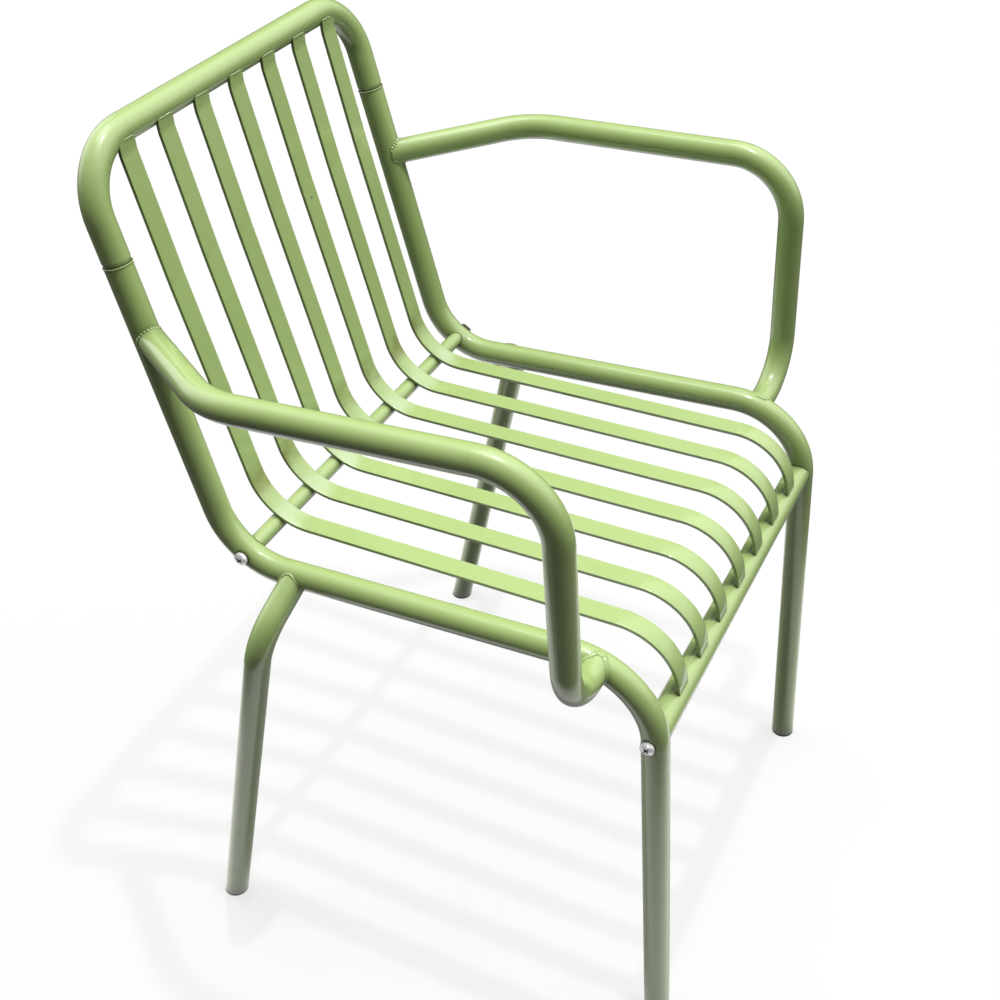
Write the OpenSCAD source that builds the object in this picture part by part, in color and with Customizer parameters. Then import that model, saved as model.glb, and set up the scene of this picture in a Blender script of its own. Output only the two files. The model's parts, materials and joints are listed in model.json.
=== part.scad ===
// Stacking armchair of bent steel tube with a slatted seat and back.
//
// Millimetres. +Z is up and z = 0 is the floor. The sitter faces -Y and X runs from side to side.
// The origin is on the floor, at the middle of the chair's outer box.
//
// Two side frames stand apart and two crossbars join them. Each crossbar is held by a screw at each end,
// which goes through the side frame into a threaded plug. The back hoop pushes into the tops of the side
// frames, and seven flat bars run from the hoop to the front crossbar.

/* [Tubes and bars] */
// Outside diameter of the side frame, leg, arm and hoop tube
tube_d = 25; // [24:0.5:26]
// Wall of every tube
tube_wall = 1.5; // [1.2:0.1:2]
// Outside diameter of the front crossbar
front_bar_d = 25; // [22:0.5:25]
// Outside diameter of the rear crossbar
rear_bar_d = 15.5; // [14:0.5:18]

/* [Side frames] */
// Distance between the two seat rails, centre to centre
rail_spacing = 407.4; // [404:0.2:412]
// Distance between the two front feet, centre to centre
front_foot_spacing = 410.2; // [406:0.2:416]
// Distance between the uprights at the top, centre to centre
top_spacing = 398.8; // [394:0.2:404]
// How far the front foot is in front of the origin
front_foot_y = 256.6; // [250:0.2:262]
// How far the front corner of the rail is in front of the origin
front_corner_y = 242; // [238:0.5:246]
// Height of the front corner of the rail
front_corner_z = 461.9; // [455:0.1:468]
// Centreline radius of the front bend
front_bend_r = 75; // [70:1:78]
// How far the rear corner of the rail is behind the origin
rear_corner_y = 172.1; // [168:0.1:176]
// Height of the rear corner of the rail
rear_corner_z = 444.3; // [440:0.1:450]
// Centreline radius of the rear bend
rear_bend_r = 65.7; // [60:0.1:68]

/* [Back hoop] */
// How far the hoop's top bar is behind the origin
hoop_y = 256.5; // [250:0.5:262]
// Height of the centre of the hoop's top bar
hoop_z = 825.4; // [810:0.1:840]
// Centreline radius of the hoop's two corners
hoop_bend_r = 56.6; // [50:0.1:62]
// Height of the seam where the hoop enters the upright
seam_z = 735; // [720:1:750]
// Length of the hoop's reduced end inside the upright
spigot_len = 45; // [30:1:60]
// Radial gap between the spigot and the upright
spigot_gap = 0.15; // [0.1:0.05:0.3]
// Length of the neck between the hoop tube and the spigot
neck_len = 4; // [3:0.5:6]

/* [Rear legs] */
// How far the leg's top is behind the origin, on the rail's centreline
leg_top_y = 105.7; // [100:0.1:110]
// How far below the rail's centreline the leg's top is
leg_top_drop = 1; // [0:0.5:2]
// Distance of the leg's bend from the middle of the chair
leg_knee_x = 261.5; // [256:0.5:266]
// How far the leg's bend is behind the origin
leg_knee_y = 113.5; // [108:0.5:118]
// Height of the corner of the leg's bend
leg_knee_z = 411.5; // [405:0.5:416]
// Centreline radius of the leg's bend
leg_bend_r = 51; // [45:1:54]
// Distance of the rear foot from the middle of the chair
rear_foot_x = 265.5; // [260:0.5:270]
// How far the rear foot is behind the origin
rear_foot_y = 216.1; // [210:0.1:222]

/* [Armrests] */
// Height of the arm's rear end on the upright
arm_rear_z = 667.7; // [660:0.1:675]
// How far the arm's rear end is in front of the upright's centreline
arm_rear_offset = 3; // [0:0.5:5]
// Distance of the arm's rear bend from the middle of the chair
arm_elbow_x = 283.1; // [280:0.1:286]
// How far the arm's rear bend is behind the origin
arm_elbow_y = 99; // [94:0.5:104]
// Height of the corner of the arm's rear bend
arm_elbow_z = 684.2; // [680:0.1:690]
// Centreline radius of the arm's rear bend
arm_rear_bend_r = 93; // [80:1:98]
// Distance of the arm's front corner from the middle of the chair
arm_front_x = 271.5; // [268:0.5:276]
// How far the arm's front corner is in front of the origin
arm_front_y = 189.8; // [186:0.2:194]
// Height of the arm's front corner
arm_front_z = 694.2; // [688:0.1:700]
// Centreline radius of the arm's front bend
arm_front_bend_r = 60.7; // [54:0.1:64]
// Distance of the foot of the arm's post from the middle of the chair
arm_post_x = 268.8; // [266:0.2:272]
// How far the foot of the arm's post is in front of the origin
arm_post_y = 194.6; // [190:0.2:198]
// Height of the foot of the arm's post
arm_post_z = 455; // [452:0.5:458]
// Centreline radius of the bend below the arm's post
arm_post_bend_r = 52; // [48:0.5:53]
// How far the arm's lower end is in front of the origin
arm_end_y = 191.4; // [188:0.2:194]
// Height of the arm's lower end on the rail
arm_end_z = 456; // [453:0.5:459]

/* [Slats] */
// Distance between slats, centre to centre
slat_pitch = 50.3; // [46:0.1:52]
// Width of a slat
slat_w = 19.6; // [18:0.1:22]
// Thickness of a slat
slat_t = 3.4; // [3:0.1:4]
// How far the slat's front corner is in front of the origin
slat_front_y = 242.2; // [240:0.2:246]
// Height of the slat's front corner
slat_front_z = 460.6; // [456:0.1:464]
// Centreline radius of the slat's front bend
slat_front_r = 58; // [54:1:66]
// How far the slat's rear corner is behind the origin
slat_rear_y = 167.6; // [166:0.1:170]
// Height of the slat's rear corner
slat_rear_z = 460.5; // [457:0.1:463]
// Centreline radius of the slat's rear bend
slat_rear_r = 58; // [54:1:66]
// Slope of the lower part of the slat's back, from upright
slat_lower_lean = 13.04; // [12.8:0.02:13.2]
// Height at which the slat's back turns more upright
slat_waist_z = 699; // [680:1:720]
// Centreline radius of the bend at that height
slat_waist_r = 300; // [250:10:400]
// Slope of the upper part of the slat's back, from upright
slat_upper_lean = 11.64; // [11.3:0.02:11.9]
// Height at which the slat is set forward to lap the hoop
slat_tip_z = 810; // [806:0.5:812]
// Centreline radius of the bend where the tip starts
slat_tip_r = 30; // [26:1:36]
// Slope of the slat's tip, from upright
slat_tip_lean = 0; // [-3:0.5:3]
// Length of the slat's tip
slat_tip_len = 11.3; // [10:0.1:12]
// Distance from the front crossbar's centre to the slat's lower end, which laps its front
slat_end_in = 6; // [5:0.5:7]

/* [Crossbars and screws] */
// How far the front crossbar is in front of the origin
front_bar_y = 242.4; // [241:0.1:244]
// Height of the front crossbar
front_bar_z = 389.7; // [386:0.1:392]
// Position of the rear crossbar round the slat's rear bend, from straight down
rear_bar_angle = 29.6; // [26:0.2:34]
// Diameter of the screw's head
head_d = 12.8; // [11.6:0.1:13.2]
// Height of the screw's head
head_h = 5.2; // [5:0.1:5.8]
// Diameter of the screw's shank
shank_d = 6; // [5:0.5:7]
// Length of the screw under its head
shank_len = 46; // [40:1:55]
// Length of the threaded plug in the end of a crossbar
insert_len = 22; // [18:1:30]

/* [Foot plugs] */
// Thickness of the plug's rim under the tube
rim_t = 2.5; // [2:0.1:4]
// Length of the plug's stem inside the tube
stem_len = 20; // [12:1:30]
// Radial gap between the stem and the tube
stem_gap = 0.1; // [0.05:0.05:0.3]

/* [Hidden] */
$fn = 64;
slat_count = 7;

paint = [0.61, 0.76, 0.42];
steel = [0.80, 0.81, 0.82];
plastic = [0.16, 0.17, 0.15];

tube_r = tube_d/2;
bore_r = tube_r - tube_wall;
front_bar_r = front_bar_d/2;
rear_bar_r = rear_bar_d/2;
// How far cutting shapes run past the faces that they cut
past = 30;
// Sideways size of a block that is larger than the chair
big = 900;
// Stock loses a little of its section where it is bent
bend_loss = 0.1;
// How far a straight run reaches into the bend next to it
lap = 0.5;

// ---- Vectors ----
function unit(v) = v/norm(v);
// Point t of the way from a to b
function blend(a, b, t) = a + (b - a)*t;
// Half of the angle inside corner i of path p
function half_angle(p, i) = acos(unit(p[i - 1] - p[i])*unit(p[i + 1] - p[i]))/2;
// Distance from corner i to the start of its bend; 0 at the path's two ends
function setback(p, r, i) = i == 0 || i == len(p) - 1 ? 0 : r[i]/tan(half_angle(p, i));
// Distance from corner i to the end of the straight run there, which laps into the bend
function run_gap(p, r, i) = i == 0 || i == len(p) - 1 ? 0 : setback(p, r, i) - lap;
// The path with its first end and last end moved outwards
function lengthened(p, first, last) = [
    for (i = [0:len(p) - 1])
        i == 0 ? p[0] + unit(p[0] - p[1])*first
        : i == len(p) - 1 ? p[i] + unit(p[i] - p[i - 1])*last
        : p[i]
];

// ---- Paths, all on the right side (+X); r holds the bend radius at each corner ----
side_path = [
    [front_foot_spacing/2, -front_foot_y, 0],
    [rail_spacing/2, -front_corner_y, front_corner_z],
    [rail_spacing/2, rear_corner_y, rear_corner_z],
    [top_spacing/2, hoop_y, hoop_z]
];
side_bends = [0, front_bend_r, rear_bend_r, 0];
front_leg_path = [side_path[1], side_path[0]];

// Point of the upright's centreline at height z
function upright_at(z) = blend(side_path[2], side_path[3], (z - rear_corner_z)/(hoop_z - rear_corner_z));
// Point of the rail's centreline at depth y
function rail_at(y) = blend(side_path[1], side_path[2], (y + front_corner_y)/(rear_corner_y + front_corner_y));

seam = upright_at(seam_z);
side_tube_path = [side_path[0], side_path[1], side_path[2], seam];

leg_path = [
    rail_at(leg_top_y) - [0, 0, leg_top_drop],
    [leg_knee_x, leg_knee_y, leg_knee_z],
    [rear_foot_x, rear_foot_y, 0]
];
leg_bends = [0, leg_bend_r, 0];

arm_path = [
    upright_at(arm_rear_z) - [0, arm_rear_offset, 0],
    [arm_elbow_x, arm_elbow_y, arm_elbow_z],
    [arm_front_x, -arm_front_y, arm_front_z],
    [arm_post_x, -arm_post_y, arm_post_z],
    [rail_spacing/2, -arm_end_y, arm_end_z]
];
arm_bends = [0, arm_rear_bend_r, arm_front_bend_r, arm_post_bend_r, 0];

hoop_corner = side_path[3];
hoop_path = [
    seam,
    hoop_corner,
    [-hoop_corner.x, hoop_corner.y, hoop_corner.z],
    [-seam.x, seam.y, seam.z]
];
hoop_bends = [0, hoop_bend_r, hoop_bend_r, 0];

// The point at height z on a line in the slat's plane that leans back from p
function leaning(p, lean, z) = p + [0, tan(lean), 1]*(z - p.z);

slat_rear = [0, slat_rear_y, slat_rear_z];
slat_waist = leaning(slat_rear, slat_lower_lean, slat_waist_z);
slat_neck = leaning(slat_waist, slat_upper_lean, slat_tip_z);
slat_path = [
    leaning(slat_neck, slat_tip_lean, slat_tip_z + slat_tip_len),
    slat_neck,
    slat_waist,
    slat_rear,
    [0, -slat_front_y, slat_front_z],
    [0, -front_bar_y - slat_end_in, front_bar_z]
];
slat_bends = [0, slat_tip_r, slat_waist_r, slat_rear_r, slat_front_r, 0];

// The rear crossbar lies against the underside of the slats' rear bend
slat_rear_half = half_angle(slat_path, 3);
slat_rear_centre = slat_rear
    + unit(unit(slat_waist - slat_rear) + unit(slat_path[4] - slat_rear))*slat_rear_r/sin(slat_rear_half);
rear_bar_at = slat_rear_centre
    + [0, sin(rear_bar_angle), -cos(rear_bar_angle)]*(slat_rear_r + slat_t/2 + rear_bar_r);
front_bar_at = [0, -front_bar_y, front_bar_z];

// ---- Placing ----
// Puts the children with their Z axis from a towards b
module along(a, b) {
    z = unit(b - a);
    x = abs(z.x) < 0.9 ? unit([1, 0, 0] - z*z.x) : unit([0, 1, 0] - z*z.y);
    y = cross(z, x);
    multmatrix([[x.x, y.x, z.x, a.x], [x.y, y.y, z.y, a.y], [x.z, y.z, z.z, a.z]]) children();
}

// Puts the children at the centre of the bend at corner i: X to the bend's start, Z on its axis
module at_bend(p, r, i) {
    before = unit(p[i - 1] - p[i]);
    after = unit(p[i + 1] - p[i]);
    c = p[i] + unit(before + after)*r[i]/sin(half_angle(p, i));
    x = unit(p[i] + before*setback(p, r, i) - c);
    y = -before;
    z = cross(x, y);
    multmatrix([[x.x, y.x, z.x, c.x], [x.y, y.y, z.y, c.y], [x.z, y.z, z.z, c.z]]) children();
}

module mirrored(left) {
    if (left)
        mirror([1, 0, 0]) children();
    else
        children();
}

// Leaves only what is above height z
module above(z) {
    difference() {
        children();
        translate([-big/2, -big/2, z - big]) cube(big);
    }
}

// ---- Bent stock ----
// A solid round bar along path p
module round_bar(p, r, bar_r) {
    for (i = [0:len(p) - 2]) {
        dir = unit(p[i + 1] - p[i]);
        a = p[i] + dir*run_gap(p, r, i);
        b = p[i + 1] - dir*run_gap(p, r, i + 1);
        along(a, b) cylinder(r = bar_r, h = norm(b - a));
    }
    for (i = [1:len(p) - 2])
        at_bend(p, r, i)
            rotate_extrude(angle = 180 - 2*half_angle(p, i))
                translate([r[i], 0]) circle(bar_r - bend_loss/2);
}

// A tube along path p, open at both ends
module bent_tube(p, r) {
    difference() {
        round_bar(p, r, tube_r);
        round_bar(lengthened(p, 1, 1), r, bore_r);
    }
}

// A flat bar along path p, which stays in a plane of constant x
module flat_bar(p, r, w, t) {
    for (i = [0:len(p) - 2]) {
        dir = unit(p[i + 1] - p[i]);
        a = p[i] + dir*run_gap(p, r, i);
        b = p[i + 1] - dir*run_gap(p, r, i + 1);
        along(a, b) translate([-w/2, -t/2, 0]) cube([w, t, norm(b - a)]);
    }
    for (i = [1:len(p) - 2])
        at_bend(p, r, i)
            rotate_extrude(angle = 180 - 2*half_angle(p, i))
                translate([r[i], 0]) square([t - bend_loss, w - bend_loss], center = true);
}

// A straight bar along X through point c, reaching half_len to each side
module cross_rod(c, rod_r, half_len) {
    translate([-half_len, c.y, c.z]) rotate([0, 90, 0]) cylinder(r = rod_r, h = 2*half_len);
}

// ---- Sub-parts ----
module side_frame(left) {
    color(paint) mirrored(left) above(rim_t) difference() {
        bent_tube(lengthened(side_tube_path, past, 0), side_bends);
        for (c = [front_bar_at, rear_bar_at])
            cross_rod(c, shank_d/2 + 0.3, big/2);
    }
}

module rear_leg(left) {
    color(paint) mirrored(left) above(rim_t) difference() {
        bent_tube(lengthened(leg_path, 0, past), leg_bends);
        round_bar(side_tube_path, side_bends, tube_r);
    }
}

module armrest(left) {
    color(paint) mirrored(left) difference() {
        bent_tube(arm_path, arm_bends);
        round_bar(side_tube_path, side_bends, tube_r);
    }
}

// The hoop's end: a reduced spigot below the seam and a taper above it, which runs into the tube
module hoop_end() {
    spigot_r = bore_r - spigot_gap;
    inner_r = spigot_r - tube_wall;
    outer_r = tube_r - bend_loss/2;
    along(seam, hoop_corner)
        rotate_extrude()
            polygon([
                [inner_r, -spigot_len],
                [spigot_r, -spigot_len],
                [spigot_r, 0],
                [bore_r + 0.4, 0],
                [outer_r, neck_len],
                [outer_r, neck_len + lap],
                [inner_r, neck_len + lap]
            ]);
}

module back_hoop() {
    color(paint) {
        bent_tube(lengthened(hoop_path, -neck_len, -neck_len), hoop_bends);
        for (left = [false, true])
            mirrored(left) hoop_end();
    }
}

// Slat n, counted from the left; its ends are hollowed to lap the hoop and the front crossbar
module slat(n) {
    color(paint) difference() {
        translate([(n - (slat_count + 1)/2)*slat_pitch, 0, 0])
            flat_bar(slat_path, slat_bends, slat_w, slat_t);
        round_bar(hoop_path, hoop_bends, tube_r);
        cross_rod(front_bar_at, front_bar_r, rail_spacing/2);
    }
}

// A crossbar tube whose ends are hollowed to fit the side frames
module crossbar(c, bar_r) {
    color(paint) difference() {
        cross_rod(c, bar_r, rail_spacing/2);
        cross_rod(c, bar_r - tube_wall, rail_spacing/2 + 1);
        for (left = [false, true])
            mirrored(left) round_bar(side_tube_path, side_bends, tube_r);
    }
}

module insert(c, bar_r, left) {
    color(steel) mirrored(left)
        translate([rail_spacing/2 - tube_r - 1, c.y, c.z]) rotate([0, -90, 0])
            difference() {
                cylinder(r = bar_r - tube_wall, h = insert_len);
                translate([0, 0, -1]) cylinder(r = shank_d/2, h = insert_len + 2);
            }
}

// Round-head screw with a cross recess, its head on the outer face of the side frame
module screw(c, left) {
    dome_r = 12;
    recess_depth = 2.6;
    slot_len = 6.4;
    slot_w = 1.5;
    color(steel) mirrored(left)
        translate([rail_spacing/2 + tube_r, c.y, c.z]) rotate([0, 90, 0]) {
            difference() {
                intersection() {
                    cylinder(d = head_d, h = head_h);
                    translate([0, 0, head_h - dome_r]) sphere(dome_r);
                }
                translate([0, 0, head_h - recess_depth]) {
                    for (turn = [45, 135])
                        rotate(turn) translate([-slot_len/2, -slot_w/2, 0])
                            cube([slot_len, slot_w, recess_depth + 1]);
                    cylinder(r1 = 0.8, r2 = 2.4, h = recess_depth + 1);
                }
            }
            translate([0, 0, -shank_len]) cylinder(d = shank_d - 0.1, h = shank_len);
        }
}

// A plug in the foot of path p, whose last point is on the floor
module foot_plug(p, left) {
    foot = p[len(p) - 1];
    up = unit(p[len(p) - 2] - foot);
    color(plastic) mirrored(left) above(0) {
        along(foot, foot + up) cylinder(r = bore_r - stem_gap, h = stem_len);
        intersection() {
            along(foot - up*past, foot) cylinder(r = tube_r, h = 2*past);
            translate([-big/2, -big/2, 0]) cube([big, big, rim_t]);
        }
    }
}

side_frame(true);  // side_frame_left
side_frame(false);  // side_frame_right
rear_leg(true);  // rear_leg_left
rear_leg(false);  // rear_leg_right
armrest(true);  // armrest_left
armrest(false);  // armrest_right
back_hoop();
slat(1);  // slat_1
slat(2);  // slat_2
slat(3);  // slat_3
slat(4);  // slat_4
slat(5);  // slat_5
slat(6);  // slat_6
slat(7);  // slat_7
crossbar(front_bar_at, front_bar_r);  // front_crossbar
crossbar(rear_bar_at, rear_bar_r);  // rear_crossbar
insert(front_bar_at, front_bar_r, true);  // insert_front_left
insert(front_bar_at, front_bar_r, false);  // insert_front_right
insert(rear_bar_at, rear_bar_r, true);  // insert_rear_left
insert(rear_bar_at, rear_bar_r, false);  // insert_rear_right
screw(front_bar_at, true);  // screw_front_left
screw(front_bar_at, false);  // screw_front_right
screw(rear_bar_at, true);  // screw_rear_left
screw(rear_bar_at, false);  // screw_rear_right
foot_plug(front_leg_path, true);  // foot_plug_front_left
foot_plug(front_leg_path, false);  // foot_plug_front_right
foot_plug(leg_path, true);  // foot_plug_rear_left
foot_plug(leg_path, false);  // foot_plug_rear_right
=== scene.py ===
import json
import math
import random

import bpy
import numpy as np
from mathutils import Matrix, Vector
from mathutils.bvhtree import BVHTree


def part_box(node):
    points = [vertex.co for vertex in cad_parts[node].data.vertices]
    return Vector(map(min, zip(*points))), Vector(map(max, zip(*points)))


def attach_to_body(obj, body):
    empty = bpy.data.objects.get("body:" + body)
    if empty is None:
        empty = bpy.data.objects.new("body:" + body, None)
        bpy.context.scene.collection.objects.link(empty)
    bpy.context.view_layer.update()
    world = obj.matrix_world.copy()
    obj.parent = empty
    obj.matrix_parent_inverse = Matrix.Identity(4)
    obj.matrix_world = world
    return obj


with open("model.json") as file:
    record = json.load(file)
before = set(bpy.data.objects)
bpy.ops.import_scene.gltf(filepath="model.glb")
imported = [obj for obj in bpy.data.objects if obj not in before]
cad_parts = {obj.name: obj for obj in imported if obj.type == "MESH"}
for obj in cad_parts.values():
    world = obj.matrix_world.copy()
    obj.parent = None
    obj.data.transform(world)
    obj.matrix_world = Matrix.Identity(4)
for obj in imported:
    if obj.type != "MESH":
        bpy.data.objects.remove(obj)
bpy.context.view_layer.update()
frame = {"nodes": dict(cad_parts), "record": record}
NODES = frame["nodes"]
MM = 0.001

# ---------------------------------------------------------------- camera
CAMERA_AT = Vector((-0.9470, -0.5164, 1.2616))
CAMERA_FORWARD = Vector((0.691231, 0.379195, -0.615152))
CAMERA_RIGHT = Vector((0.449985, -0.891943, -0.044179))
LENS_MM = 49.605
SENSOR_MM = 36.0
CLIP_NEAR = 0.05
CLIP_FAR = 200.0


def make_camera():
    """The camera at the photograph's angle."""
    data = bpy.data.cameras.new("camera")
    data.lens = LENS_MM
    data.sensor_width = SENSOR_MM
    data.clip_start = CLIP_NEAR
    data.clip_end = CLIP_FAR
    camera = bpy.data.objects.new("camera", data)
    bpy.context.scene.collection.objects.link(camera)
    forward = CAMERA_FORWARD.normalized()
    right = (CAMERA_RIGHT - forward * CAMERA_RIGHT.dot(forward)).normalized()
    placing = Matrix((right, right.cross(forward), -forward)).transposed().to_4x4()
    placing.translation = CAMERA_AT
    camera.matrix_world = placing
    bpy.context.scene.camera = camera


# ---------------------------------------------------------------- node helpers
def feed(tree, value, socket):
    """Links another node's output to the socket, or sets a constant on it."""
    if isinstance(value, bpy.types.NodeSocket):
        tree.links.new(value, socket)
    else:
        socket.default_value = value


def add(tree, kind, inputs=None, **props):
    """A new node with its properties and inputs."""
    node = tree.nodes.new(kind)
    for key, value in props.items():
        setattr(node, key, value)
    for key, value in (inputs or {}).items():
        feed(tree, value, node.inputs[key])
    return node


def new_surface(name):
    """A material with a Principled shader, and the object's own coordinates for its textures."""
    mat = bpy.data.materials.new(name)
    mat.use_nodes = True
    tree = mat.node_tree
    tree.nodes.clear()
    out = tree.nodes.new("ShaderNodeOutputMaterial")
    shader = tree.nodes.new("ShaderNodeBsdfPrincipled")
    tree.links.new(shader.outputs[0], out.inputs["Surface"])
    where = add(tree, "ShaderNodeTexCoord").outputs["Object"]
    return mat, tree, shader, where


def noise(tree, where, scale, detail=2.0):
    inputs = {"Vector": where, "Scale": scale, "Detail": detail}
    return add(tree, "ShaderNodeTexNoise", inputs).outputs["Fac"]


def ramp(tree, fac, stops):
    """A colour ramp with one stop for each place and colour."""
    node = add(tree, "ShaderNodeValToRGB", {"Fac": fac})
    elements = node.color_ramp.elements
    while len(elements) < len(stops):
        elements.new(0.5)
    for element, (place, colour) in zip(elements, stops):
        element.position = place
        element.color = (*colour, 1.0)
    return node.outputs["Color"]


def remap(tree, value, span, to, kind="LINEAR"):
    """Carries a span of values over to another one."""
    inputs = {"Value": value, "From Min": span[0], "From Max": span[1], "To Min": to[0], "To Max": to[1]}
    return add(tree, "ShaderNodeMapRange", inputs, interpolation_type=kind).outputs["Result"]


def ease(tree, value, span, to):
    """Carries a span of values over to another one, with soft ends."""
    return remap(tree, value, span, to, "SMOOTHSTEP")


def calc(tree, operation, *values):
    return add(tree, "ShaderNodeMath", dict(enumerate(values)), operation=operation).outputs[0]


def product(tree, first, *others):
    for other in others:
        first = calc(tree, "MULTIPLY", first, other)
    return first


def measure(tree, operation, *vectors):
    """A length, a distance or a dot product."""
    return add(tree, "ShaderNodeVectorMath", dict(enumerate(vectors)), operation=operation).outputs["Value"]


def mix_colour(tree, fac, under, over):
    """A constant colour laid over another one by a factor."""
    node = add(tree, "ShaderNodeMix", data_type="RGBA")
    sockets = {socket.identifier: socket for socket in node.inputs}
    feed(tree, fac, sockets["Factor_Float"])
    feed(tree, under, sockets["A_Color"])
    feed(tree, (*over, 1.0), sockets["B_Color"])
    return next(socket for socket in node.outputs if socket.type == "RGBA")


def bump(tree, height, strength, distance, normal=None):
    inputs = {"Height": height, "Strength": strength, "Distance": distance}
    if normal is not None:
        inputs["Normal"] = normal
    return add(tree, "ShaderNodeBump", inputs).outputs["Normal"]


# ---------------------------------------------------------------- materials
# How far a noise texture swings from its low to its high values
SWING = (0.3, 0.7)
AO_SAMPLES = 8

PAINT_LIGHT = (0.442, 0.590, 0.214)
PAINT_DARK = (0.416, 0.562, 0.194)
PAINT_SPECK = (0.30, 0.44, 0.10)
PAINT_SHADED = (0.070, 0.080, 0.028)
# Colours of the painted shade and the painted highlight at the slats' rear bend, and of a real chip in the
# paint
PAINT_BEND_SHADE = (0.260, 0.310, 0.075)
PAINT_BEND_HIGHLIGHT = (0.560, 0.690, 0.420)
PAINT_CHIPPED = (0.100, 0.120, 0.060)
PAINT_ROUGHNESS = (0.35, 0.43)
PAINT_COAT = {"Specular IOR Level": 0.5, "Coat Weight": 0.9, "Coat Roughness": 0.10, "Coat IOR": 1.5}
# Shade where pieces meet: how far it reaches, the openness over which it fades, and how strong it gets
SHADE_REACH = 35.0 * MM
SHADE_OPENNESS = (0.46, 0.92)
SHADE_MOST = 0.92

# Painted shade in a band above the slats' bend at the rear bar, standing in for the shading of a slight dent
# there, and a painted highlight on the bend: how far back and how high above its centre each one fades in or
# out
BEND_SHADE_BACK = (0.2 * MM, 15.2 * MM)
BEND_SHADE_BOTTOM = (22.1 * MM, 32.1 * MM)
BEND_SHADE_TOP = (40.1 * MM, 60.1 * MM)
BEND_SHADE_MOST = 0.85
BEND_HIGHLIGHT_BACK = (-32.8 * MM, -16.8 * MM)
BEND_HIGHLIGHT_BACK_END = (-4.8 * MM, 7.2 * MM)
BEND_HIGHLIGHT_MOST = 0.6
# A chip in the paint of the fifth slat's front face
CHIP_AT = (0.0497, 0.2178, 0.6847)
CHIP_RADII = (0.8 * MM, 1.8 * MM)
CHIP_MOST = 0.8

ZINC_TONE = (0.86, 0.86, 0.85)
STEEL_TONE = (0.55, 0.56, 0.57)
SPANGLE_DARKER = 0.86
SCRATCH_SCALE = (30.0, 2400.0, 2400.0)
METAL_ROUGHNESS = (0.16, 0.34)
# Painted shade deep in the metal's recesses: how far it reaches, the openness over which it fades, and its
# colour
RECESS_REACH = 3.0 * MM
RECESS_OPENNESS = (0.45, 0.95)
RECESS_PAINTED_SHADE = (0.02, 0.02, 0.02)
# Colours of the painted shade in the gaps at the seams, the crossbar ends and the screw seats
SHADE_IN_GAP_TONES = ((0.018, 0.024, 0.010), (0.050, 0.064, 0.026))
PLUG_TONES = ((0.014, 0.016, 0.013), (0.035, 0.038, 0.032))


def tones(tree, fac, dark, light, places=SWING):
    """A ramp between two colours."""
    return ramp(tree, fac, list(zip(places, (dark, light))))


def set_finish(tree, shader, colour, roughness, normal):
    for name, value in (("Base Color", colour), ("Roughness", roughness), ("Normal", normal)):
        tree.links.new(value, shader.inputs[name])


def openness(tree, reach, only_local=False):
    """How open a place is, from 0 in a closed corner to 1."""
    settings = {"samples": AO_SAMPLES, "only_local": only_local}
    return add(tree, "ShaderNodeAmbientOcclusion", {"Distance": reach}, **settings).outputs["AO"]


def moved(place, offsets):
    return tuple(place + offset for offset in offsets)


def lay_bend_shading_and_chip(tree, where, colour):
    """Where the slats were bent and welded at the rear bar: painted shade in a band above the bend, a
    painted highlight on it, and a chip in the paint.
    """
    low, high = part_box("rear_crossbar")
    bar_y, bar_z = (low[1] + high[1]) / 2, (low[2] + high[2]) / 2
    at = add(tree, "ShaderNodeSeparateXYZ", {0: where}).outputs
    patch = remap(tree, noise(tree, where, scale=55.0), (0.35, 0.60), (0.3, 1.0))
    shade_above_bend = product(tree, patch,
                   ease(tree, at["Y"], moved(bar_y, BEND_SHADE_BACK), (0.0, 1.0)),
                   ease(tree, at["Z"], moved(bar_z, BEND_SHADE_BOTTOM), (0.0, BEND_SHADE_MOST)),
                   ease(tree, at["Z"], moved(bar_z, BEND_SHADE_TOP), (1.0, 0.0)))
    highlight_on_bend = product(tree, patch,
                   ease(tree, at["Y"], moved(bar_y, BEND_HIGHLIGHT_BACK), (0.0, BEND_HIGHLIGHT_MOST)),
                   ease(tree, at["Y"], moved(bar_y, BEND_HIGHLIGHT_BACK_END), (1.0, 0.0)))
    chip = ease(tree, measure(tree, "DISTANCE", where, CHIP_AT), CHIP_RADII, (CHIP_MOST, 0.0))
    # Lays the painted shade, the painted highlight and the real paint chip over the colour
    for amount, mark in ((shade_above_bend, PAINT_BEND_SHADE), (highlight_on_bend, PAINT_BEND_HIGHLIGHT), (chip, PAINT_CHIPPED)):
        colour = mix_colour(tree, amount, colour, mark)
    return colour


def paint(name, has_bend_shading_and_chip=False):
    """Semi-gloss powder coat: slight clouding, orange peel, fine grain, and shade where pieces meet."""
    mat, tree, shader, where = new_surface(name)
    colour = tones(tree, noise(tree, where, scale=9.0, detail=3.0), PAINT_DARK, PAINT_LIGHT, (0.35, 0.65))
    # The slats get painted shade and a painted highlight at their rear bend, and a real paint chip
    if has_bend_shading_and_chip:
        colour = lay_bend_shading_and_chip(tree, where, colour)
    specks = remap(tree, noise(tree, where, scale=2600.0, detail=1.0), (0.35, 0.75), (0.0, 0.10))
    colour = mix_colour(tree, specks, colour, PAINT_SPECK)
    open_sky = openness(tree, SHADE_REACH)
    colour = mix_colour(tree, remap(tree, open_sky, SHADE_OPENNESS, (SHADE_MOST, 0.0)), colour, PAINT_SHADED)
    roughness = remap(tree, noise(tree, where, scale=60.0, detail=3.0), SWING, PAINT_ROUGHNESS)
    peel = bump(tree, noise(tree, where, scale=420.0), strength=0.20, distance=0.25 * MM)
    grit = noise(tree, where, scale=1900.0, detail=1.0)
    grain = bump(tree, grit, strength=0.12, distance=0.1 * MM, normal=peel)
    set_finish(tree, shader, colour, roughness, grain)
    for key, value in PAINT_COAT.items():
        shader.inputs[key].default_value = value
    return mat


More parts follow.
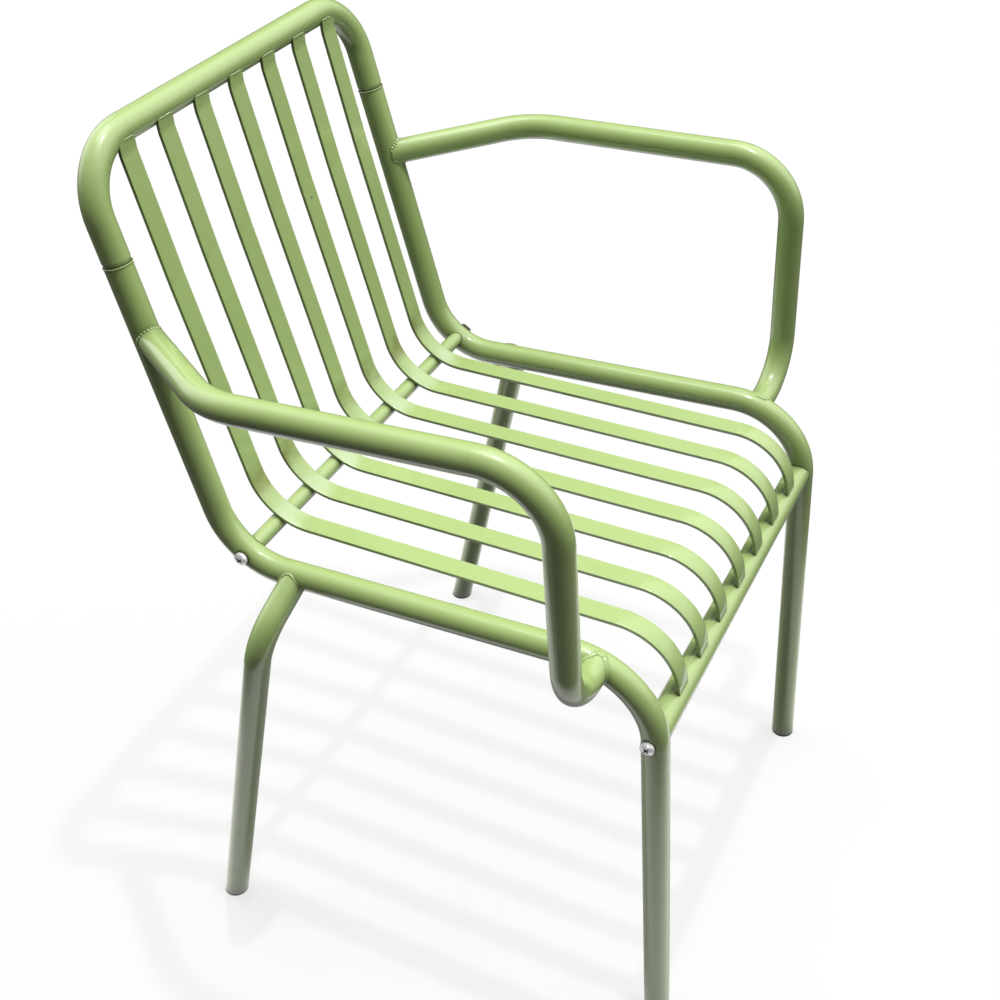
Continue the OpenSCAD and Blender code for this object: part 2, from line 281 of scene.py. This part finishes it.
def bright_metal(name, tone, scratch, metallic):
    """Plated or plain metal, with painted shade where it lies deep in a recess."""
    mat, tree, shader, where = new_surface(name)
    spangle = noise(tree, where, scale=700.0)
    colour = tones(tree, spangle, tuple(part * SPANGLE_DARKER for part in tone), tone)
    open_sky = openness(tree, RECESS_REACH, only_local=True)
    # Painted shade where the metal lies deep in a recess
    colour = mix_colour(tree, remap(tree, open_sky, RECESS_OPENNESS, (1.0, 0.0)), colour, RECESS_PAINTED_SHADE)
    stretch = {"Vector": where, "Scale": SCRATCH_SCALE}
    brushed = add(tree, "ShaderNodeMapping", stretch).outputs["Vector"]
    lines = noise(tree, brushed, scale=1.0)
    scratches = bump(tree, lines, strength=scratch, distance=0.05 * MM)
    set_finish(tree, shader, colour, remap(tree, lines, SWING, METAL_ROUGHNESS), scratches)
    shader.inputs["Metallic"].default_value = metallic
    return mat


def shaded_gap(name):
    """Painted shade: dark paint at the bottom of a gap, where shade falls."""
    mat, tree, shader, where = new_surface(name)
    colour = tones(tree, noise(tree, where, scale=500.0, detail=3.0), *SHADE_IN_GAP_TONES)
    roughness = remap(tree, noise(tree, where, scale=900.0), SWING, (0.60, 0.85))
    set_finish(tree, shader, colour, roughness,
               bump(tree, noise(tree, where, scale=1400.0), strength=0.20, distance=0.06 * MM))
    return mat


def plug_plastic(name):
    """Dark moulded plastic of the feet."""
    mat, tree, shader, where = new_surface(name)
    colour = tones(tree, noise(tree, where, scale=240.0, detail=3.0), *PLUG_TONES)
    roughness = remap(tree, noise(tree, where, scale=900.0), SWING, (0.42, 0.62))
    set_finish(tree, shader, colour, roughness,
               bump(tree, noise(tree, where, scale=1600.0), strength=0.25, distance=0.08 * MM))
    return mat


# ---------------------------------------------------------------- mesh helpers
BEAD_SIDES = 10
GAP_SIDES = 8
LOOP_POINTS = 180
SECTOR = math.radians(10)
RIM_DEPTH = 0.5 * MM
SMOOTHINGS = 3


def new_object(name, verts, faces, mat, smooth=True):
    mesh = bpy.data.meshes.new(name)
    mesh.from_pydata([tuple(v) for v in verts], [], faces)
    mesh.validate()
    mesh.update()
    if smooth:
        mesh.polygons.foreach_set("use_smooth", [True] * len(mesh.polygons))
    obj = bpy.data.objects.new(name, mesh)
    bpy.context.scene.collection.objects.link(obj)
    mesh.materials.append(mat)
    return obj


def vertices(node):
    """The node's vertices as rows of x, y and z."""
    mesh = NODES[node].data
    co = np.empty(len(mesh.vertices) * 3, np.float32)
    mesh.vertices.foreach_get("co", co)
    return co.reshape(-1, 3).astype(float)


def tree_of(node):
    """The node's surface, to be asked for its nearest point."""
    mesh = NODES[node].data
    return BVHTree.FromPolygons([v.co for v in mesh.vertices], [p.vertices for p in mesh.polygons])


def unit(vector):
    return vector / np.linalg.norm(vector)


def plane_of(points):
    """Centre of a ring of points and three axes, the last one across the ring."""
    centre = points.mean(0)
    return centre, np.linalg.svd(points - centre, full_matrices=False)[2]


def outer_loop(points):
    """A smooth closed curve through the outer edge of a ring of points."""
    centre, (u, v, across) = plane_of(points)
    away = points - centre
    angle = np.arctan2(away @ v, away @ u)
    radius = np.hypot(away @ u, away @ v)
    sector = np.floor((angle + math.pi) / SECTOR).astype(int)
    furthest = {s: radius[sector == s].max() for s in np.unique(sector)}
    keep = np.array([r > furthest[s] - RIM_DEPTH for r, s in zip(radius, sector)])
    order = np.argsort(angle[keep])
    known = angle[keep][order]
    at = np.linspace(-math.pi, math.pi, LOOP_POINTS, endpoint=False)
    reach = np.interp(at, known, radius[keep][order], period=2 * math.pi)
    lift = np.interp(at, known, (away @ across)[keep][order], period=2 * math.pi)
    for _ in range(SMOOTHINGS):
        reach = (np.roll(reach, 1) + 2 * reach + np.roll(reach, -1)) / 4
        lift = (np.roll(lift, 1) + 2 * lift + np.roll(lift, -1)) / 4
    in_plane = np.outer(reach * np.cos(at), u) + np.outer(reach * np.sin(at), v)
    return centre + in_plane + np.outer(lift, across)


def even_loop(loop, step):
    """The closed curve as points at an even step, and its length."""
    closed = np.vstack([loop, loop[:1]])
    run = np.concatenate([[0.0], np.cumsum(np.linalg.norm(np.diff(closed, axis=0), axis=1))])
    count = int(round(run[-1] / step))
    at = np.linspace(0.0, run[-1], count, endpoint=False)
    return np.stack([np.interp(at, run, closed[:, k]) for k in range(3)], 1), run[-1]


def bead_rings(path, radii, sides, closed):
    """The vertices of a bead, ring by ring along its path."""
    centre = path.mean(0)
    count = len(path)
    turn = np.arange(sides) * 2 * math.pi / sides
    rings = []
    for i in range(count):
        before, after = (i - 1, (i + 1) % count) if closed else (max(i - 1, 0), min(i + 1, count - 1))
        tangent = unit(path[after] - path[before])
        outward = path[i] - centre if closed else np.array([0.0, 0.0, 1.0])
        outward = unit(outward - tangent * (outward @ tangent))
        other = np.cross(tangent, outward)
        rings.append(path[i] + radii[i] * (np.outer(np.cos(turn), outward) + np.outer(np.sin(turn), other)))
    return np.vstack(rings)


def bead_mesh(name, path, radii, mat, sides=BEAD_SIDES, closed=True):
    """A bead along a path, whose radius changes from point to point."""
    count = len(path)
    faces = []
    for i in range(count if closed else count - 1):
        j = (i + 1) % count
        for k in range(sides):
            m = (k + 1) % sides
            faces.append((i * sides + k, j * sides + k, j * sides + m, i * sides + m))
    if not closed:
        faces.append(tuple(reversed(range(sides))))
        faces.append(tuple(range((count - 1) * sides, count * sides)))
    return new_object(name, bead_rings(path, radii, sides, closed), faces, mat)


def attach(piece):
    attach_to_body(piece, "root")


def attach_gap(name, loop, radius):
    """A thin ring of painted shade, of one thickness."""
    attach(bead_mesh(name, loop, np.full(len(loop), radius), GAP_SHADE, GAP_SIDES))


# ---------------------------------------------------------------- welds, seams and screw seats
# Weld beads: radius, depth of their steps, length of a step, and how far they are sunk into the corner
ARM_REAR_BEAD = {"size": 1.7 * MM, "ripple": 0.45, "pitch": 3.2 * MM, "sunk": 0.15}
ARM_FRONT_BEAD = {"size": 3.4 * MM, "ripple": 0.0, "pitch": 2.6 * MM, "sunk": 0.55}
LEG_BEAD = {"size": 1.7 * MM, "ripple": 0.08, "pitch": 2.4 * MM, "sunk": 0.45}
LEG_JOINT_ABOVE = 0.2
BEAD_STEP = 0.5 * MM
UNEVEN = 0.35
TOUCHING = 0.35 * MM

TIP_SIZE = 1.15 * MM
TIP_PITCH = 2.7 * MM
TIP_RIPPLE = 0.40
TIP_INSET = 0.8 * MM
TIP_SUNK = 0.3 * MM
TIP_POINTS = 64
TIP_TAPER_POWER = 6
TIP_THINNEST = 0.02

SEAM_DEPTH = 8.0 * MM
SEAM_STEP = 0.6 * MM
LIP_RADIUS = 0.7 * MM
LIP_BELOW = 0.35 * MM
SEAM_GAP_RADIUS = 0.38 * MM
SEAM_GAP_ABOVE = 0.25 * MM
SEAM_GAP_INSIDE = 0.925

BAR_GAP_RADIUS = 0.42 * MM
BAR_GAP_STEP = 0.8 * MM
SEAT_RADIUS = 0.45 * MM
SEAT_WIDER = 1.01
SEAT_POINTS = 72
HEAD_RIM = 0.3 * MM


def saddle(guest, host, part):
    """The guest's vertices on the host's surface, in the chosen part of the guest."""
    surface = tree_of(host)
    points = vertices(guest)
    points = points[part(points)]
    return points[np.array([surface.find_nearest(Vector(q))[3] < TOUCHING for q in points])]


def drops(rng, count, steps, ripple):
    """The bead's relative radius at each point, in rounded steps of slightly uneven height."""
    steps = max(1, round(steps))
    height = [1.0 + rng.uniform(-UNEVEN, UNEVEN) * ripple for _ in range(steps)]
    at = np.arange(count) * steps / count
    return np.array([height[int(q)] for q in at]) * (1.0 - ripple + ripple * np.abs(np.sin(math.pi * at)))


def weld(name, guest, host, part, size, ripple, pitch, sunk):
    """A weld bead in small steps round the guest's end, sunk into the corner between the two."""
    rng = random.Random(name)
    loop, length = even_loop(outer_loop(saddle(guest, host, part)), BEAD_STEP)
    surface = tree_of(host)
    centre, axes = plane_of(loop)
    across = axes[2]
    for i, point in enumerate(loop):
        away = point - centre
        away -= across * (away @ across)
        facing = np.array(surface.find_nearest(Vector(point))[1])
        loop[i] = point - unit(facing + unit(away)) * size * sunk
    radii = size * drops(rng, len(loop), length / pitch, ripple)
    attach(bead_mesh(name, loop, radii, FRAME_PAINT))


def make_welds(side):
    """The welds of one side's armrest and rear leg."""
    rail = "side_frame_" + side
    arm = "armrest_" + side
    leg = "rear_leg_" + side
    low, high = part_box(arm)
    middle = (low[2] + high[2]) / 2
    weld("weld_arm_rear_" + side, arm, rail, lambda q: (q[:, 2] > middle) & (q[:, 1] > 0), **ARM_REAR_BEAD)
    weld("weld_arm_front_" + side, arm, rail, lambda q: q[:, 2] < middle, **ARM_FRONT_BEAD)
    weld("weld_leg_" + side, leg, rail, lambda q: q[:, 2] > LEG_JOINT_ABOVE, **LEG_BEAD)


def make_seam(side):
    """The rolled lip of the side frame where the hoop enters it, and a ring of painted shade for the gap
    above it.
    """
    points = vertices("side_frame_" + side)
    end = points[points[:, 2] > points[:, 2].max() - SEAM_DEPTH]
    loop, _ = even_loop(outer_loop(end), SEAM_STEP)
    centre, axes = plane_of(loop)
    up = axes[2] if axes[2][2] > 0 else -axes[2]
    lip = loop - up * LIP_BELOW
    attach(bead_mesh("seam_lip_" + side, lip, np.full(len(loop), LIP_RADIUS), FRAME_PAINT))
    gap = centre + (loop - centre) * SEAM_GAP_INSIDE + up * SEAM_GAP_ABOVE
    attach_gap("seam_gap_" + side, gap, SEAM_GAP_RADIUS)


def make_bar_gap(bar, side):
    """A thin ring of painted shade for the gap where a crossbar's hollowed end bears on the side frame."""
    sign = -1.0 if side == "left" else 1.0
    rim = outer_loop(saddle(bar, "side_frame_" + side, lambda q: q[:, 0] * sign > 0))
    attach_gap("gap_" + bar + "_" + side, even_loop(rim, BAR_GAP_STEP)[0], BAR_GAP_RADIUS)


def make_tip_weld(node):
    """The bead along the top edge of a slat's tip, against the hoop."""
    rng = random.Random(node)
    points = vertices(node)
    highest = points[:, 2].max()
    edge = points[points[:, 2] > highest - TIP_SUNK]
    start, end = edge[:, 0].min() + TIP_INSET, edge[:, 0].max() - TIP_INSET
    path = np.empty((TIP_POINTS, 3))
    path[:, 0] = np.linspace(start, end, TIP_POINTS)
    path[:, 1] = edge[:, 1].max() - TIP_SUNK
    path[:, 2] = highest
    along_bead = np.linspace(-1.0, 1.0, TIP_POINTS)
    taper = np.sqrt(np.clip(1.0 - along_bead ** TIP_TAPER_POWER, TIP_THINNEST, 1.0))
    radii = TIP_SIZE * taper * drops(rng, TIP_POINTS, (end - start) / TIP_PITCH, TIP_RIPPLE)
    attach(bead_mesh("weld_tip_" + node, path, radii, SLAT_PAINT, closed=False))


def make_screw_seat(node):
    """A ring of painted shade for the gap under the rim of a screw's head."""
    points = vertices(node)
    outer = -1.0 if points[:, 0].mean() < 0 else 1.0
    low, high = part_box(node)
    axis_y, axis_z = (low[1] + high[1]) / 2, (low[2] + high[2]) / 2
    radius = (high[2] - low[2]) / 2
    from_axis = np.hypot(points[:, 1] - axis_y, points[:, 2] - axis_z)
    rim = points[from_axis > radius - HEAD_RIM]
    turn = np.linspace(0, 2 * math.pi, SEAT_POINTS, endpoint=False)
    loop = np.empty((SEAT_POINTS, 3))
    loop[:, 0] = np.abs(rim[:, 0]).min() * outer
    loop[:, 1] = axis_y + radius * SEAT_WIDER * np.cos(turn)
    loop[:, 2] = axis_z + radius * SEAT_WIDER * np.sin(turn)
    attach_gap("seat_" + node, loop, SEAT_RADIUS)


# ---------------------------------------------------------------- studio
# One small lamp high over the seat draws the stripes on the floor
LAMP_AT = (0.122, -0.272, 3.149)
LAMP_SIZE = 0.08
LAMP_POWER = 30.0
# Soft boxes: azimuth, elevation, cosines where the light starts and where it is full, strength
SOFT_BOXES = [(82.0, 26.0, (0.72, 1.00), 2.20),
              (316.0, 44.0, (0.54, 0.97), 1.95),
              (0.0, 90.0, (0.42, 1.00), 0.65),
              (48.0, 76.0, (0.955, 0.980), 4.00)]
ROOM = 0.01
BACKDROP = 0.985
# Cards of light at both sides, for the screws' heads only
CARD_AT = (1.6, -0.35, 0.75)
CARD_AIM = Vector((0.0, 0.0, 0.4))
CARD_SIZE = 0.5
CARD_POWER = 9.0
# The floor: what the camera sees, from near to far, and its own tone
FLOOR_HALF = 30.0
FLOOR_WHITE = (1.0, 1.0, 0.995, 1.0)
FLOOR_REACH = (0.6, 3.0)
FLOOR_SEEN = (0.690, 0.765)
FLOOR_TONE = 0.235
FLOOR_DARKER = 0.985
# The floor glows in a bright ring around the chair's feet, painted light which only reflections see
RING_GLOW = 1.3
RING_INSIDE = 0.35
RING_OUTSIDE = 0.08
RING_STARTS = (0.28, 0.38)
RING_ENDS = (0.55, 0.75)
# A second glowing patch of floor, painted light beyond the chair's right rear corner
PATCH_AZIMUTH = 29.0
PATCH_STARTS = (0.35, 0.50)
PATCH_ENDS = (0.75, 0.95)
PATCH_SIDES = (0.50, 0.75)
PATCH_GLOW = 1.1


def direction(azimuth, elevation):
    a, e = math.radians(azimuth), math.radians(elevation)
    return Vector((math.cos(a) * math.cos(e), math.sin(a) * math.cos(e), math.sin(e)))


def emission(tree, strength, colour=(1.0, 1.0, 1.0, 1.0)):
    return add(tree, "ShaderNodeEmission", {"Color": colour, "Strength": strength}).outputs[0]


def seen_or_else(tree, seen, otherwise):
    """What the camera sees directly, and what lights the chair."""
    camera_ray = add(tree, "ShaderNodeLightPath").outputs["Is Camera Ray"]
    return add(tree, "ShaderNodeMixShader", {0: camera_ray, 1: otherwise, 2: seen}).outputs[0]


def make_world():
    """A white backdrop, and the soft boxes that light the chair."""
    world = bpy.data.worlds.new("studio")
    bpy.context.scene.world = world
    world.use_nodes = True
    tree = world.node_tree
    tree.nodes.clear()
    out = tree.nodes.new("ShaderNodeOutputWorld")
    way = add(tree, "ShaderNodeTexCoord").outputs["Generated"]
    total = ROOM
    for azimuth, elevation, edges, strength in SOFT_BOXES:
        toward = measure(tree, "DOT_PRODUCT", way, direction(azimuth, elevation))
        total = calc(tree, "ADD", ease(tree, toward, edges, (0.0, strength)), total)
    around = add(tree, "ShaderNodeBackground", {"Strength": total}).outputs[0]
    white = {"Color": (1.0, 1.0, 1.0, 1.0), "Strength": BACKDROP}
    seen = add(tree, "ShaderNodeBackground", white).outputs[0]
    tree.links.new(seen_or_else(tree, seen, around), out.inputs["Surface"])


def area_lamp(name, size, power, place):
    lamp = bpy.data.lights.new(name, "AREA")
    lamp.size = size
    lamp.energy = power
    obj = bpy.data.objects.new(name, lamp)
    bpy.context.scene.collection.objects.link(obj)
    obj.location = place
    return obj


def make_screw_light():
    """A small card of light on each side, which reaches only the screws' heads."""
    screws = bpy.data.collections.new("screws")
    for node, obj in NODES.items():
        if node.startswith("screw_"):
            screws.objects.link(obj)
    for side in (-1.0, 1.0):
        card = area_lamp("screw_light", CARD_SIZE, CARD_POWER, (side * CARD_AT[0], *CARD_AT[1:]))
        card.rotation_euler = (CARD_AIM - card.location).to_track_quat("-Z", "Y").to_euler()
        card.light_linking.receiver_collection = screws


def floor_seen(tree, where, reach):
    """The floor as the camera sees it: white, with the chair's shadow."""
    dark, light = (FLOOR_TONE * FLOOR_DARKER,) * 3, (FLOOR_TONE,) * 3
    tone = tones(tree, noise(tree, where, scale=2.0, detail=3.0), dark, light)
    lit = add(tree, "ShaderNodeBsdfDiffuse", {"Color": tone}).outputs[0]
    base = emission(tree, ease(tree, reach, FLOOR_REACH, FLOOR_SEEN), FLOOR_WHITE)
    return add(tree, "ShaderNodeAddShader", {0: lit, 1: base}).outputs[0]


def floor_glow(tree, where, reach):
    """The floor as the paint reflects it: painted light glowing in a ring and a patch."""
    ring = product(tree, ease(tree, reach, RING_ENDS, (1.0, RING_OUTSIDE)),
                   ease(tree, reach, RING_STARTS, (RING_INSIDE, RING_GLOW)))
    behind = measure(tree, "DOT_PRODUCT", where, direction(PATCH_AZIMUTH, 0.0))
    sideways = measure(tree, "DOT_PRODUCT", where, direction(PATCH_AZIMUTH - 90.0, 0.0))
    across = calc(tree, "ABSOLUTE", sideways)
    patch = product(tree, ease(tree, behind, PATCH_STARTS, (0.0, PATCH_GLOW)),
                    ease(tree, behind, PATCH_ENDS, (1.0, 0.0)),
                    ease(tree, across, PATCH_SIDES, (1.0, 0.0)))
    return emission(tree, calc(tree, "MAXIMUM", ring, patch))


def make_floor():
    mat = bpy.data.materials.new("floor")
    mat.use_nodes = True
    tree = mat.node_tree
    tree.nodes.clear()
    out = tree.nodes.new("ShaderNodeOutputMaterial")
    where = add(tree, "ShaderNodeTexCoord").outputs["Object"]
    reach = measure(tree, "LENGTH", where)
    look = seen_or_else(tree, floor_seen(tree, where, reach), floor_glow(tree, where, reach))
    tree.links.new(look, out.inputs["Surface"])
    corners = [(x * FLOOR_HALF, y * FLOOR_HALF, 0.0) for x, y in ((-1, -1), (1, -1), (1, 1), (-1, 1))]
    floor = new_object("floor", corners, [(0, 1, 2, 3)], mat, smooth=False)
    floor.visible_diffuse = False


def make_studio():
    bpy.context.scene.view_settings.view_transform = "Standard"
    bpy.context.scene.view_settings.look = "None"
    make_world()
    lamp = area_lamp("overhead_lamp", LAMP_SIZE, LAMP_POWER, LAMP_AT)
    lamp.data.shape = "DISK"
    make_floor()


# ---------------------------------------------------------------- CAD nodes' looks
EDGE_WIDTH = 0.5 * MM
EDGE_SEGMENTS = 2
EDGE_ANGLE = math.radians(50)
MERGE_WITHIN = 0.12 * MM


def dress(node, mat):
    """Gives every slot of the node one material."""
    mesh = NODES[node].data
    if len(mesh.materials) == 0:
        mesh.materials.append(mat)
    for i in range(len(mesh.materials)):
        mesh.materials[i] = mat


def soften_edges(node):
    """Joins the surface's points and rounds its sharp edges."""
    obj = NODES[node]
    join = obj.modifiers.new("join", "WELD")
    join.merge_threshold = MERGE_WITHIN
    bevel = obj.modifiers.new("edges", "BEVEL")
    bevel.width = EDGE_WIDTH
    bevel.segments = EDGE_SEGMENTS
    bevel.limit_method = "ANGLE"
    bevel.angle_limit = EDGE_ANGLE


def nodes_named(start):
    return [node for node in NODES if node.startswith(start)]


make_camera()
make_studio()
FRAME_PAINT = paint("frame_paint")
SLAT_PAINT = paint("slat_paint", has_bend_shading_and_chip=True)
SCREW_ZINC = bright_metal("screw_zinc", ZINC_TONE, scratch=0.2, metallic=0.3)
INSERT_STEEL = bright_metal("insert_steel", STEEL_TONE, scratch=0.4, metallic=1.0)
PLUG_PLASTIC = plug_plastic("plug_plastic")
GAP_SHADE = shaded_gap("gap_shade")
LOOKS = {"frame_paint": FRAME_PAINT, "slat_paint": SLAT_PAINT, "screw_zinc": SCREW_ZINC,
         "insert_steel": INSERT_STEEL, "plug_plastic": PLUG_PLASTIC}
for part in frame["record"]["subparts"]:
    dress(part["node"], LOOKS[part["material_slot"]])
for slat in nodes_named("slat_"):
    soften_edges(slat)
    make_tip_weld(slat)
for hand in ("left", "right"):
    make_welds(hand)
    make_seam(hand)
    for crossbar in ("front_crossbar", "rear_crossbar"):
        make_bar_gap(crossbar, hand)
for screw in nodes_named("screw_"):
    make_screw_seat(screw)
make_screw_light()
